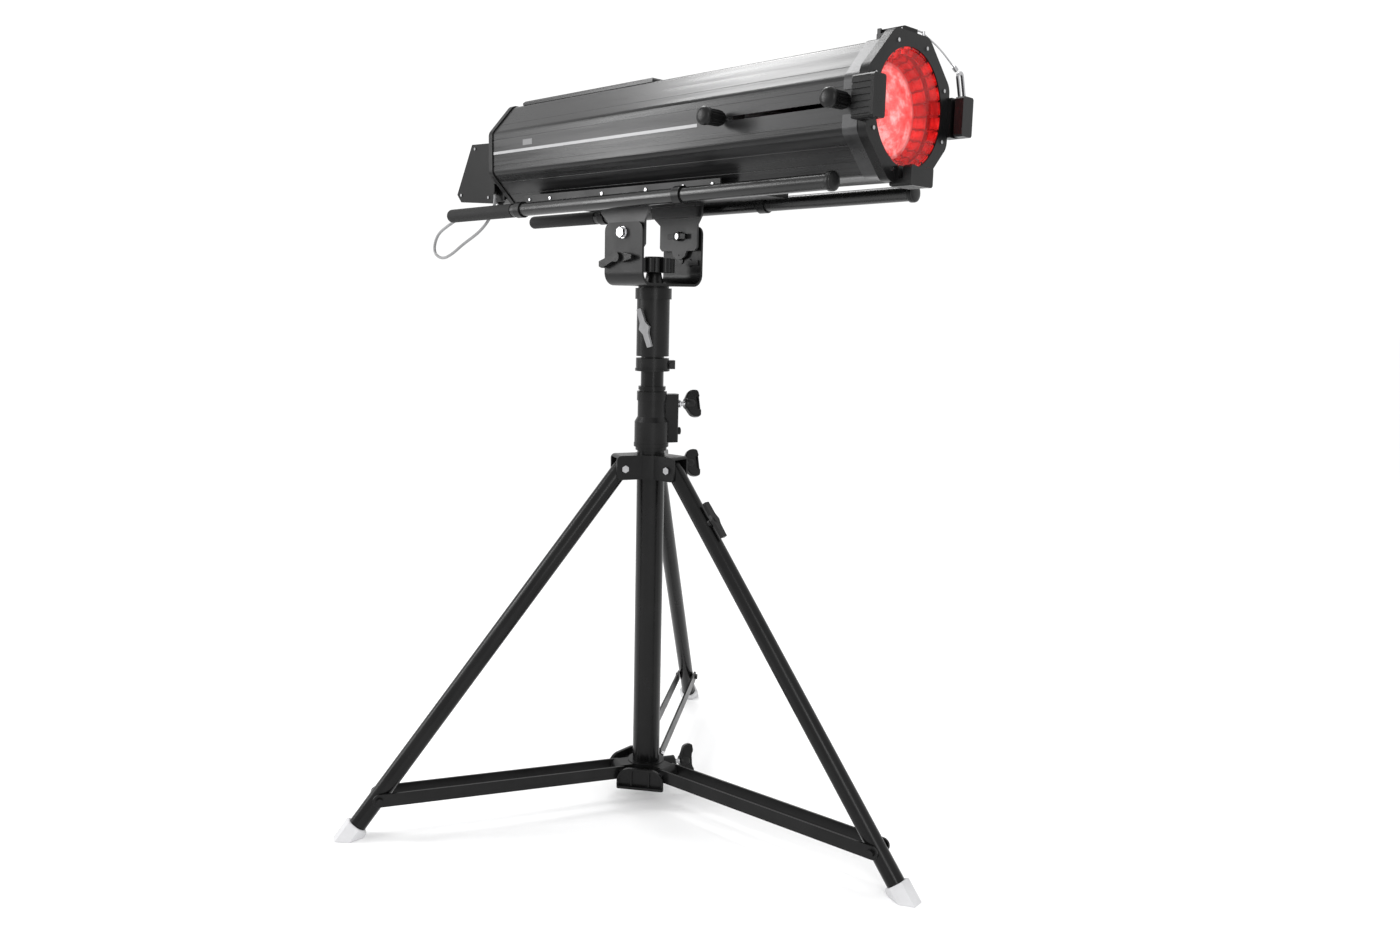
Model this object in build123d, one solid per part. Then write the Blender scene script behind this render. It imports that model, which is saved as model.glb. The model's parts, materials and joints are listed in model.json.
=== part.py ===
from build123d import *
import os
from math import atan2, cos, degrees, pi, radians, sin, sqrt, tan

# Followspot on a folding tripod stand. Millimetres, +Z up, beam along +X.
# Drawn about the column axis, then moved so that the origin is on the floor under the
# middle of the overall box.

CENTRE = (33.0, -27.0)    # middle of the overall box, from the column axis
FLOOR_Z = 22.0            # floor height in the drawing below

# ---- stand ----
STAND_TURN = 5.0          # azimuth of the first leg from the beam
LEG_AZ = {"r": STAND_TURN, "b": STAND_TURN + 120.0, "l": STAND_TURN + 240.0}
KNOB_AZ = STAND_TURN + 60.0   # the clamp screws face between two legs
COLUMN_R = 27.5
COLUMN_BORE = 24.6
COLUMN_Z = (70.0, 800.0)
FIT = 0.06                # radial clearance of a running fit
GAP = 0.4                 # clearance between neighbours that move
LEG_R = 17.0
LEG_BORE = 15.0
LEG_TOP = (61.0, 716.0)   # radius and height of the leg pivot
LEG_END = (580.0, 45.0)   # radius and height of the tube end
LEG_OVER = 10.0           # tube above the pivot
FOOT_SOCKET = 12.0        # tube inside its foot cap
FOOT_R = 24.0             # corner radius of the six-sided foot cap
PIN_R = 5.0
SPIDER_Z = (694.0, 742.0)
SPIDER_PLATE = 5.0
SPIDER_HALF = 21.6
SPIDER_REACH = 77.0
BASE_PIVOT = (58.0, 90.0)  # radius and height of the brace pivot
BRACE_H = 25.0
BRACE_T = 4.0
BRACE_IN = 18.6           # inner face of a brace bar from the leg plane
BRACE_LEG_Z = 96.0
BASE_Z = (64.0, 104.0)
APRON_HALF = 48.0
APRON_X = 58.0            # back of the half-round front plate, from the axis

# ---- mast and sleeve ----
MAST_R = 22.5
MAST_BORE = 20.0
MAST_Z = (150.0, 1030.0)
SLEEVE_R = 32.0
SLEEVE_Z = (935.0, 1066.0)
COLLAR_TOP = 866.0
LEVER_AZ = -67.0

# ---- yoke ----
TILT_Z = 1168.0
YOKE_HALF_X = 52.0
YOKE_OUT = 82.0
YOKE_T = 5.0
SPINDLE_R = 8.0
YOKE_Z = (1070.0, 1187.0)
TILT_PIN_R = 6.0

# ---- head ----
AXIS_Z = 1342.0
SHELL_X = (-368.0, 544.0)
COLLAR_X = (517.0, 544.0)
SHELL_T = 3.0
SECTION = [(112, -44), (112, 36), (58, 96), (-58, 96), (-112, 36), (-112, -44),
           (-52, -104), (52, -104)]
SECTION_R = 14.0
PLATE_X = (544.0, 560.0)
PLATE_APOTHEM = 113.0
PLATE_CORNER = 24.0
MOUTH_R = 91.0
RAIL_Y = 113.0
RAIL_Z = (1217.0, 1227.0)  # rear and front ends: the rails rise a little towards the front
RAIL_R = 14.0
RAIL_X = (-420.0, 500.0)
GRIP_X = (-524.0, -296.0)
CLAMP_X = (-272.0, 178.0)
SLOT_X = (225.0, 535.0)
SLOT_Z = 1341.0
SLOT_H = 7.0
LENS_X = (276.0, 526.0)   # rear and front lens carriers
FRONT_LENS_BACK = 10.0    # front glass behind its carrier's knob
CABLE_R = 3.2

PARTS = {}


def box(x, y, z):
    return Pos((x[0] + x[1]) / 2, (y[0] + y[1]) / 2, (z[0] + z[1]) / 2) * Box(
        x[1] - x[0], y[1] - y[0], z[1] - z[0])


def rod(p, q, r, r2=None):
    p, q = Vector(*p), Vector(*q)
    d = q - p
    base = Plane(origin=p, z_dir=d)
    if r2 is None:
        return base * Pos(0, 0, d.length / 2) * Cylinder(r, d.length)
    return base * Pos(0, 0, d.length / 2) * Cone(r, r2, d.length)


def pipe(p, q, r, bore):
    return rod(p, q, r) - rod(p, q, bore)


def ring(z, r, bore):
    return pipe((0, 0, z[0]), (0, 0, z[1]), r, bore)


def turn(az, shape):
    return Rot(0, 0, az) * shape


def hexhead(p, d, across, height):
    """Hexagon head standing on point p along direction d."""
    plane = Plane(origin=Vector(*p), z_dir=Vector(*d))
    return plane * extrude(RegularPolygon(across / 2, 6, major_radius=False), height)


def prism_x(points, x0, x1):
    """Closed outline in Y and Z about the lamp axis, drawn out along X."""
    plane = Plane(origin=(x0, 0, AXIS_Z), x_dir=(0, 1, 0), z_dir=(1, 0, 0))
    return extrude(plane * make_face(Polyline(*points, close=True)), x1 - x0)


def section(grow, x0, x1, radius=SECTION_R):
    """Eight-sided body section, larger or smaller by grow, with soft corners."""
    face = make_face(Polyline(*SECTION, close=True))
    if grow:
        face = offset(face, grow, kind=Kind.INTERSECTION)
    face = fillet(face.vertices(), max(radius + grow, 1.0))
    plane = Plane(origin=(x0, 0, AXIS_Z), x_dir=(0, 1, 0), z_dir=(1, 0, 0))
    return extrude(plane * face, x1 - x0)


def add(name, *solids):
    """One node: a single solid, or identical pieces as separate solids."""
    PARTS[name] = list(solids)


def knob_wings(span, thick, depth):
    """Wing knob about local Z with its seat at z = 0: hub, two swept wings."""
    hub = Pos(0, 0, 11) * Cylinder(11, 22)
    outline = Polyline((-9, 4), (-15, 9), (-span, 22 + depth), (-span + 2, 30 + depth),
                       (-span + 12, 30 + depth), (-10, 20), (10, 20), (span - 12, 30 + depth),
                       (span - 2, 30 + depth), (span, 22 + depth), (15, 9), (9, 4), close=True)
    blade = extrude(Plane.XZ * make_face(outline), thick / 2, both=True)
    blade = fillet(blade.edges().filter_by(Axis.Y), 2.0)
    return hub + blade


def lever_blade(length, mid, tip, thick):
    """Flat bow-tie lever in local XY, centred, standing on z = 0."""
    h, m, t = length / 2, mid / 2, tip / 2
    outline = Polyline((-h, -t), (-m, -t - 1), (0, -m), (m, -t - 1), (h, -t), (h, t),
                       (m, t + 1), (0, m), (-m, t + 1), (-h, t), close=True)
    blade = extrude(make_face(outline), thick)
    return fillet(blade.edges().filter_by(Axis.Z), 1.5)


# ==== column and spider ====
leg_dx, leg_dz = LEG_END[0] - LEG_TOP[0], LEG_END[1] - LEG_TOP[1]
leg_len = sqrt(leg_dx ** 2 + leg_dz ** 2)
U = (leg_dx / leg_len, leg_dz / leg_len)          # down along a leg: radius, height
N = (-U[1], U[0])                                 # out of a leg, away from the column


def leg_point(s, n=0.0, w=0.0):
    """Point on the leg drawn at azimuth 0: s along it, n outward, w sideways."""
    return (LEG_TOP[0] + U[0] * s + N[0] * n, w, LEG_TOP[1] + U[1] * s + N[1] * n)


brace_s = (BRACE_LEG_Z - LEG_TOP[1]) / U[1]
BRACE_OUT = LEG_TOP[0] + U[0] * brace_s            # radius of the outer brace bolt

column = ring(COLUMN_Z, COLUMN_R, COLUMN_BORE)
add("column_tube", column)

spider = Pos(0, 0, (SPIDER_Z[0] + SPIDER_Z[1]) / 2) * Cylinder(34, SPIDER_Z[1] - SPIDER_Z[0])
for az in LEG_AZ.values():
    arm = box((0, SPIDER_REACH), (-SPIDER_HALF, SPIDER_HALF), SPIDER_Z)
    arm = fillet(arm.edges().filter_by(Axis.Y).group_by(Axis.X)[-1], 9.0)
    spider += turn(az, arm)
for az in LEG_AZ.values():
    pocket = box((36, SPIDER_REACH + 1), (-LEG_R - GAP, LEG_R + GAP),
                 (SPIDER_Z[0] - 1, SPIDER_Z[1] - SPIDER_PLATE))
    spider -= turn(az, pocket)
    hole = rod((LEG_TOP[0], -40, LEG_TOP[1]), (LEG_TOP[0], 40, LEG_TOP[1]), PIN_R)
    spider -= turn(az, hole)
knob_boss = rod((24, 0, 720), (56, 0, 720), 13)
spider += turn(KNOB_AZ, knob_boss)
spider -= Pos(0, 0, 718) * Cylinder(COLUMN_R, 80)
spider -= turn(KNOB_AZ, rod((20, 0, 720), (60, 0, 720), 5.06))
add("spider", spider)

pins = []
for az in LEG_AZ.values():
    pin = rod((LEG_TOP[0], -SPIDER_HALF, LEG_TOP[1]), (LEG_TOP[0], SPIDER_HALF, LEG_TOP[1]), PIN_R)
    for side in (-1, 1):
        pin += hexhead((LEG_TOP[0], side * SPIDER_HALF, LEG_TOP[1]), (0, side, 0), 13, 5)
    pins.append(turn(az, pin))
add("leg_pins", *pins)

collar_shape = ring((750, 757), 31, COLUMN_R) + ring((757, 764), 34.5, COLUMN_R)
collar_shape += ring((764, 806), 33.5, COLUMN_R)
collar_shape += rod((0, 0, 806), (0, 0, 816), 33.5, 27.8)
collar_shape += Pos(0, 0, 833) * Cylinder(27.8, 36) + Pos(0, 0, 857) * Cylinder(29.5, 18)
lug = box((20, 55), (-11, 11), (764, 860))
lug = fillet(lug.edges().filter_by(Axis.Z).group_by(Axis.X)[-1], 8.0)
collar_shape += turn(KNOB_AZ, lug)
collar_shape -= Pos(0, 0, 775) * Cylinder(COLUMN_R, 50)
collar_shape -= Pos(0, 0, 830) * Cylinder(MAST_R + FIT, 100)
collar_shape -= turn(KNOB_AZ, rod((15, 0, 840), (60, 0, 840), 5.06))
collar_shape += turn(KNOB_AZ, rod((50, 0, 786), (60, 0, 786), 7.5))
add("column_collar", collar_shape)

for name, z, tip, seat in (("collar_wing", 840, MAST_R + GAP, 55), ("spider_wing", 720, COLUMN_R + GAP, 56)):
    shank = rod((tip, 0, z), (seat + 16, 0, z), 5.0) + rod((seat + 1, 0, z), (seat + 5, 0, z), 8.0)
    wing = Plane(origin=(seat + 14, 0, z), z_dir=(1, 0, 0), x_dir=(0, 0.35, 0.94)) * knob_wings(28, 9, 2)
    add(name, turn(KNOB_AZ, shank + wing))

# ==== legs ====
LEVER_S = 130.0           # lever distance below the pivot of the levelling leg
fold_top = leg_point(-LEG_OVER)
fold_end = leg_point(leg_len + FOOT_SOCKET)
pivot_hole = rod(leg_point(0, 0, -30), leg_point(0, 0, 30), PIN_R + FIT)
for key, az in LEG_AZ.items():
    tube = pipe(fold_top, fold_end, LEG_R, LEG_BORE) - pivot_hole
    if key == "r":
        tube += rod(leg_point(LEVER_S, LEG_BORE + 0.5), leg_point(LEVER_S, LEG_R + 5), 9.0)
        tube -= rod(leg_point(LEVER_S, 0), leg_point(LEVER_S, LEG_R + 6), 5.0 + FIT)
    add("leg_" + key + "_tube", turn(az, tube))
    foot_plane = Plane(origin=leg_point(leg_len), z_dir=(U[0], 0, U[1]), x_dir=(0, 1, 0))
    foot = foot_plane * extrude(RegularPolygon(FOOT_R, 6), 90)
    foot = chamfer(foot.edges().group_by(SortBy.LENGTH)[0], 2.0)
    foot &= box((500, 700), (-60, 60), (FLOOR_Z, 200))
    foot -= rod(leg_point(leg_len - 5), fold_end, LEG_R)
    add("foot_" + key, turn(az, foot))

stud = rod(leg_point(LEVER_S, LEG_BORE), leg_point(LEVER_S, LEG_R + 16), 5.0)
lever_plane = Plane(origin=leg_point(LEVER_S, LEG_R + 8), z_dir=(N[0], 0, N[1]), x_dir=(U[0], 0, U[1]))
blade = lever_plane * lever_blade(76, 22, 13, 7)
add("leg_lever", turn(LEG_AZ["r"], stud + blade))

# ==== sliding base and braces ====
base = Pos(0, 0, 84) * Cylinder(37, 40)
for az in LEG_AZ.values():
    arm = box((20, BASE_PIVOT[0]), (-BRACE_IN + GAP, BRACE_IN - GAP), (BASE_PIVOT[1] - 13, BASE_PIVOT[1] + 13))
    nose = rod((BASE_PIVOT[0], -BRACE_IN + GAP, BASE_PIVOT[1]), (BASE_PIVOT[0], BRACE_IN - GAP, BASE_PIVOT[1]), 13)
    base += turn(az, arm + nose)
for az in (STAND_TURN - 60.0, STAND_TURN + 180.0):
    web = box((20, APRON_X + 1), (-17, 17), (BASE_Z[0], 92))
    loaf = box((APRON_X, APRON_X + 6), (-APRON_HALF, APRON_HALF), (BASE_Z[0], BASE_Z[0] + 42))
    loaf = fillet(loaf.edges().filter_by(Axis.X).group_by(Axis.Z)[-1], 28.0)
    pocket = box((APRON_X + 2, APRON_X + 7), (4 - APRON_HALF, APRON_HALF - 4), (BASE_Z[0] + 5, BASE_Z[0] + 38))
    pocket = fillet(pocket.edges().filter_by(Axis.X).group_by(Axis.Z)[-1], 24.0)
    for y in (-18, 18):
        pocket -= box((APRON_X, APRON_X + 8), (y - 1.6, y + 1.6), (BASE_Z[0], BASE_Z[0] + 60))
    lip = box((APRON_X, APRON_X + 10), (-APRON_HALF, APRON_HALF), (BASE_Z[0], BASE_Z[0] + 5))
    lip = fillet(lip.edges().filter_by(Axis.Z).group_by(Axis.X)[-1], 5.0)
    base += turn(az, web + (loaf - pocket) + lip)
base += turn(KNOB_AZ, rod((24, 0, 88), (62, 0, 88), 14))
base -= Pos(0, 0, 75) * Cylinder(COLUMN_R + FIT, 100)
base -= turn(KNOB_AZ, rod((20, 0, 88), (64, 0, 88), 5.06))
for az in LEG_AZ.values():
    base -= turn(az, rod((BASE_PIVOT[0], -30, BASE_PIVOT[1]), (BASE_PIVOT[0], 30, BASE_PIVOT[1]), 4.0))
add("base_casting", base)

shank = rod((COLUMN_R + GAP, 0, 88), (78, 0, 88), 5.0) + rod((63, 0, 88), (67, 0, 88), 8.0)
wing = Plane(origin=(74, 0, 88), z_dir=(1, 0, 0), x_dir=(0, 0.2, 0.98)) * knob_wings(34, 10, 0)
add("base_wing", turn(KNOB_AZ, shank + wing))

outer = BRACE_IN + BRACE_T
pins = []
for az in LEG_AZ.values():
    x, z = BASE_PIVOT
    pin = rod((x, -outer, z), (x, outer, z), 4.0)
    for side in (-1, 1):
        pin += hexhead((x, side * outer, z), (0, side, 0), 12, 5)
    pins.append(turn(az, pin))
add("brace_pins", *pins)

brace_ang = degrees(atan2(BRACE_LEG_Z - BASE_PIVOT[1], BRACE_OUT - BASE_PIVOT[0]))
for key, az in LEG_AZ.items():
    bars = []
    for side in (-1, 1):
        y0, y1 = sorted((side * BRACE_IN, side * outer))
        length = (BRACE_OUT - BASE_PIVOT[0]) / cos(radians(brace_ang))
        bar = box((0, length), (y0, y1), (-BRACE_H / 2, BRACE_H / 2))
        bar += rod((0, y0, 0), (0, y1, 0), BRACE_H / 2) + rod((length, y0, 0), (length, y1, 0), BRACE_H / 2)
        bar -= rod((0, y0 - 1, 0), (0, y1 + 1, 0), 4.0 + FIT)
        bar += hexhead((length, side * outer, 0), (0, side, 0), 12, 5)
        bars.append(turn(az, Pos(BASE_PIVOT[0], 0, BASE_PIVOT[1]) * Rot(0, -brace_ang, 0) * bar))
    add("brace_" + key, *bars)

# ==== mast, sleeve, pan spindle ====
mast = ring(MAST_Z, MAST_R, MAST_BORE) + ring((COLLAR_TOP + 0.4, COLLAR_TOP + 3), 25, MAST_R - 1)
mast += ring((COLLAR_TOP + 3, COLLAR_TOP + 10), 27, MAST_R - 1)
add("mast_tube", mast)
sleeve = ring(SLEEVE_Z, SLEEVE_R, MAST_R) + ring((1045, SLEEVE_Z[1]), 35.5, MAST_R)
sleeve += Pos(0, 0, 1056) * Cylinder(33, 20)
sleeve -= turn(LEVER_AZ, rod((15, 0, 990), (40, 0, 990), 5.06))
sleeve += turn(LEVER_AZ, pipe((SLEEVE_R - 3, 0, 990), (SLEEVE_R + 4, 0, 990), 9, 5.06))
sleeve -= Pos(0, 0, 970) * Cylinder(MAST_R, 120)
sleeve += Pos(0, 0, 1068) * Cylinder(30, YOKE_Z[0] - 1066)
sleeve += rod((0, 0, 1060), (0, 0, 1112), SPINDLE_R)
add("sleeve", sleeve)
clamp = ring((906, 931), 32.5, MAST_R) + ring((906, 911), 34, MAST_R)
ears = box((30, 44), (-8, 8), (910, 927))
clamp += turn(KNOB_AZ - 12, ears) - Pos(0, 0, 918) * Cylinder(MAST_R, 40)
clamp += turn(KNOB_AZ - 12, rod((37, -13, 918), (37, 13, 918), 5))
add("sleeve_clamp", clamp)
stud = rod((MAST_R + GAP, 0, 990), (SLEEVE_R + 14, 0, 990), 5.0)
tilt = radians(108)
lever_plane = Plane(origin=(SLEEVE_R + 6, 0, 990), z_dir=(1, 0, 0), x_dir=(0, cos(tilt), sin(tilt)))
add("sleeve_lever", turn(LEVER_AZ, stud + lever_plane * lever_blade(76, 22, 9, 8)))

# ==== yoke ====
inner = YOKE_OUT - YOKE_T
outline = box((-YOKE_HALF_X, YOKE_HALF_X), (-YOKE_OUT, YOKE_OUT), YOKE_Z)
outline = fillet(outline.edges().filter_by(Axis.X).group_by(Axis.Z)[0], 24.0)
cavity = box((-YOKE_HALF_X - 1, YOKE_HALF_X + 1), (-inner, inner), (YOKE_Z[0] + YOKE_T, YOKE_Z[1] + 1))
cavity = fillet(cavity.edges().filter_by(Axis.X).group_by(Axis.Z)[0], 24.0 - YOKE_T)
yoke = outline - cavity
yoke = fillet(yoke.edges().filter_by(Axis.Y).group_by(Axis.Z)[-1], 16.0)
yoke -= Pos(0, 0, YOKE_Z[0]) * Cylinder(SPINDLE_R + FIT, 30)
yoke -= rod((0, -100, TILT_Z), (0, 100, TILT_Z), TILT_PIN_R)
LOCK = (-2.0, 1122.0)
yoke -= rod((LOCK[0], -100, LOCK[1]), (LOCK[0], 100, LOCK[1]), 4.0 + FIT)
yoke += box((20, 46), (inner - 2.4, inner + 1), (1112, 1122)) + rod((20, inner - 2.4, 1117), (20, inner + 1, 1117), 8)
add("yoke", yoke)

star = extrude(Plane.XY * Circle(27), 27)
for k in range(6):
    star += Rot(0, 0, 60 * k) * Pos(30, 0, 13.5) * Cylinder(11, 27)
star += Pos(0, 0, 28) * Cylinder(18, 4)
star = Pos(0, 0, 1096) * star
star += rod((0, 0, YOKE_Z[0] + YOKE_T + GAP), (0, 0, 1097), 19, 14)
star -= rod((0, 0, 1060), (0, 0, 1114), SPINDLE_R + FIT)
add("pan_knob", star)

tilt_in = 60.0
bolts = []
for side in (-1, 1):
    bolt = rod((0, side * tilt_in, TILT_Z), (0, side * YOKE_OUT, TILT_Z), TILT_PIN_R)
    bolt += rod((0, side * YOKE_OUT, TILT_Z), (0, side * (YOKE_OUT + 2), TILT_Z), 11)
    bolt += hexhead((0, side * (YOKE_OUT + 2), TILT_Z), (0, side, 0), 17, 8)
    bolt += rod((0, side * 73.4, TILT_Z), (0, side * inner, TILT_Z), 13)
    if side < 0:
        bolt += hexhead((0, -67.6, TILT_Z), (0, 1, 0), 19, 7.4)
    bolts.append(bolt)
add("tilt_bolts", *bolts)
wing = rod((0, 67.6, TILT_Z), (0, 58, TILT_Z), 9) + box((-24, 24), (59, 66), (TILT_Z - 5, TILT_Z + 5))
wing = fillet(wing.edges().filter_by(Axis.Y).filter_by(GeomType.LINE), 2.5)
add("tilt_wing", wing - rod((0, 50, TILT_Z), (0, 70, TILT_Z), TILT_PIN_R + FIT))
for name, side in (("tilt_lock_near", -1), ("tilt_lock_far", 1)):
    y = side * YOKE_OUT
    x, z = LOCK
    lock = rod((x, side * (inner - 2.6), z), (x, y + side * 16, z), 4.0)
    lock += rod((x, side * (inner - 2.6), z), (x, side * (inner - GAP), z), 7)
    lock += rod((x, y + side * GAP, z), (x, y + side * 18, z), 9)
    arm = Polyline((-54, -17), (-54, -7), (-14, 6), (12, 9), (36, 4), (36, -3), (10, -9),
                   (-16, -8), (-46, -20), close=True)
    arm = extrude(Plane(origin=(x, y + side * 8, z), x_dir=(1, 0, 0), z_dir=(0, -1, 0)) * make_face(arm),
                  3.5, both=True)
    add(name, lock + arm)

# ==== head: body ====
body = section(0, *SHELL_X) - section(-SHELL_T, SHELL_X[0] - 1, SHELL_X[1] + 1)
body -= box(SLOT_X, (-130, -90), (SLOT_Z - SLOT_H / 2, SLOT_Z + SLOT_H / 2))
grooves = []
for z in (AXIS_Z + 22, AXIS_Z - 30):
    for side in (-1, 1):
        grooves.append(box(SHELL_X, sorted((side * 111.2, side * 114)), (z - 0.6, z + 0.6)))
for g in grooves:
    body -= g
for z, y in ((54, 97), (-62, 95), (-84, 73)):
    for side in (-1, 1):
        body -= rod((SHELL_X[0], side * y, AXIS_Z + z), (SHELL_X[1], side * y, AXIS_Z + z), 1.2)
add("body_shell", body)
rear_ring = section(2.5, SHELL_X[0] - 12, SHELL_X[0]) + section(-SHELL_T, SHELL_X[0], SHELL_X[0] + 8)
rear_ring -= section(-14, SHELL_X[0] - 8, SHELL_X[0] + 9, 22)
add("rear_cap", rear_ring)
collar = section(1.8, *COLLAR_X) - section(0, COLLAR_X[0] - 1, COLLAR_X[1] + 1)
collar -= box((500, COLLAR_X[1] - 3), (-130, -100), (SLOT_Z - 18, SLOT_Z + 18))
add("front_collar", collar)

plate_outline = RegularPolygon(PLATE_APOTHEM, 8, major_radius=False, rotation=22.5)
plate_plane = Plane(origin=(PLATE_X[0], 0, AXIS_Z), x_dir=(0, 1, 0), z_dir=(1, 0, 0))
plate = extrude(plate_plane * plate_outline, PLATE_X[1] - PLATE_X[0])
plate = fillet(plate.edges().filter_by(Axis.X), PLATE_CORNER)
for a, reach in ((0, 139), (180, 139), (270, 119)):
    boss = box((550, 589), (reach - 31, reach), (-31, 31))
    boss = chamfer(boss.edges().filter_by(Axis.X), 3.0)
    for k in range(7):
        boss -= box((549, 583), (reach - 2, reach + 1), (-27 + 9 * k - 1.5, -27 + 9 * k + 1.5))
    boss -= box((566, 574), (reach - 60, reach - 11), (-40, 40))
    plate += Pos(0, 0, AXIS_Z) * Rot(a, 0, 0) * boss
plate -= rod((PLATE_X[0] - 1, 0, AXIS_Z), (600, 0, AXIS_Z), MOUTH_R)
add("front_plate", plate)
screws = []
for k in range(8):
    a = radians(22.5 + 45 * k)
    y, z = 103 * cos(a), AXIS_Z + 103 * sin(a)
    screws.append(rod((PLATE_X[1], y, z), (PLATE_X[1] + 2, y, z), 3.0))

cover = box((-340, 45), (-56, 56), (AXIS_Z + 96, AXIS_Z + 104))
cover = chamfer(cover.edges().group_by(Axis.Z)[-1], 3.5)
add("top_cover", cover)
screws += [rod((x, y, AXIS_Z + 104), (x, y, AXIS_Z + 106), 3.0)
           for x in (-300, -155, -12) for y in (-38, 38)]

# ==== head: rear box and cable ====
BOX_HALF = 72.0
rear_outline = Polyline((-380, 1366), (-496, 1370), (-553, 1268), (-541, 1254), (-430, 1246), (-380, 1250),
                        close=True)
rear_box = extrude(Plane.XZ * make_face(rear_outline), BOX_HALF - 4, both=True)
rear_hollow = Polyline((-384, 1362), (-493, 1366), (-548, 1268), (-539, 1258), (-430, 1250), (-384, 1254),
                       close=True)
rear_box -= extrude(Plane.XZ * make_face(rear_hollow), BOX_HALF - 8, both=True)

for side in (-1, 1):
    skin = Polyline((-384, 1367), (-500, 1371), (-558, 1268), (-543, 1251), (-432, 1243), (-384, 1247), close=True)
    cheek = extrude(Plane.XZ * make_face(skin), 2, both=True)
    rear_box += Pos(0, side * (BOX_HALF - 2), 0) * cheek
screws += [rod((x, side * BOX_HALF, z), (x, side * (BOX_HALF + 2), z), 3.0)
           for side in (-1, 1) for x, z in ((-488, 1361), (-541, 1266), (-396, 1358), (-440, 1256))]
gland = box((-416, -400), (-86, -BOX_HALF + 1), (1262, 1282))
gland = fillet(gland.edges().filter_by(Axis.Y), 5.0)
gland += rod((-408, -79, 1275), (-404, -80, 1259), 6)
under = rod((-413, -54.5, 1252), (-420, -58, 1242), 7)
rear_box += gland + under
CABLE = [(-408, -79, 1272), (-398, -84, 1244), (-408, -92, 1208), (-442, -97, 1180), (-500, -97, 1158),
         (-545, -97, 1136), (-584, -97, 1126), (-620, -96, 1142), (-607, -95, 1180), (-565, -93, 1200),
         (-515, -88, 1218), (-462, -78, 1226), (-428, -62, 1230), (-416, -56, 1246)]


def bend_radii(points):
    radii = []
    for a, b, c in zip(points, points[1:], points[2:]):
        u, v = Vector(*b) - Vector(*a), Vector(*c) - Vector(*b)
        half = radians(u.get_angle(v)) / 2
        radii.append(0.45 * min(u.length, v.length) / tan(half))
    return radii


def cord(points, r):
    """Round cord along straight runs joined by tangent arcs."""
    radii = bend_radii(points)
    path = FilletPolyline(*points, radius=radii)
    tube = sweep(Plane(origin=path @ 0, z_dir=path % 0) * Circle(r), path)
    print("cord length", round(path.length, 1), "least radius", round(min(radii), 1),
          "volume", round(tube.volume), "of", round(pi * r * r * path.length))
    return tube


cable = cord(CABLE, CABLE_R)
rear_box -= rod(CABLE[0], (-398, -84, 1244), CABLE_R + 0.3)
rear_box -= rod(CABLE[-1], CABLE[-2], CABLE_R + 0.3) + rod(CABLE[-1], (-413, -54.5, 1250), CABLE_R + 0.3)
add("rear_box", rear_box)
add("power_cable", cable)

# ==== head: chassis, rails, brackets ====
chassis = box((-288, 252), (-92, 92), (AXIS_Z - 112, AXIS_Z - 104))
for side in (-1, 1):
    chassis += box((-288, 252), sorted((side * 89, side * 92)), (AXIS_Z - 112, AXIS_Z - 92))
    chassis -= rod((-400, side * 95, AXIS_Z - 62), (400, side * 95, AXIS_Z - 62), 0.5)
chassis -= section(0, -300, 260)
add("chassis", chassis)
screws += [rod((x, side * 92, AXIS_Z - 101), (x, side * 94, AXIS_Z - 101), 3.0)
           for side in (-1, 1) for x in (-270, -205, -50, 70, 165, 235)]
add("body_screws", *screws)
rails, grips, clamps = [], [], []


def rail(x, side, dz=0.0):
    """Point on a grip rail's axis at length x."""
    share = (x - GRIP_X[0]) / (RAIL_X[1] - GRIP_X[0])
    return (x, side * RAIL_Y, RAIL_Z[0] + share * (RAIL_Z[1] - RAIL_Z[0]) + dz)


for side in (-1, 1):
    tube = pipe(rail(RAIL_X[0], side), rail(RAIL_X[1], side), RAIL_R - 1, RAIL_R - 3)
    rails.append(tube + rod(rail(RAIL_X[1], side), rail(RAIL_X[1] + 6, side), RAIL_R + 1))
    grip = rod(rail(GRIP_X[0], side), rail(GRIP_X[1], side), RAIL_R)
    grip = fillet(grip.edges().group_by(Axis.X)[0], 9.0)
    grip -= rod(rail(RAIL_X[0], side), rail(GRIP_X[1] + 1, side), RAIL_R - 1)
    grips.append(grip)
    for x in CLAMP_X:
        band = pipe(rail(x - 9, side), rail(x + 9, side), RAIL_R + 2, RAIL_R - 1)
        strap = box((x - 9, x + 9), sorted((side * 92, side * 106)), (rail(x, side)[2] + 2, rail(x, side)[2] + 12))
        clamps.append(band + (strap - rod(rail(x - 12, side), rail(x + 12, side), RAIL_R)))
add("rails", *rails)
add("rail_grips", *grips)
add("rail_clamps", *clamps)
tongues = []
for side in (-1, 1):
    face = Polyline((-80, 1230), (-74, 1206), (-54, 1190), (-54, 1146), (-48, 1140), (-20, 1140),
                    (-16, 1130), (-6, 1124), (6, 1124), (16, 1130), (20, 1140), (42, 1140), (48, 1146),
                    (48, 1190), (58, 1206), (60, 1230), close=True)
    tongue = extrude(Plane(origin=(0, side * 70.5, 0), x_dir=(1, 0, 0), z_dir=(0, -1, 0)) * make_face(face),
                     2.5, both=True)
    tongue += box((-80, 60), sorted((side * 50, side * 73)), (1225, 1230))
    tongue += box((-70, 52), sorted((side * 60, side * 68)), (1204, 1225))
    tongue -= rod((0, side * 40, TILT_Z), (0, side * 90, TILT_Z), TILT_PIN_R + FIT)
    tongue -= rod((0, side * 60, 1132), (0, side * 80, 1132), 1.6)
    tongues.append(tongue)
add("tilt_tongues", *tongues)

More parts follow.
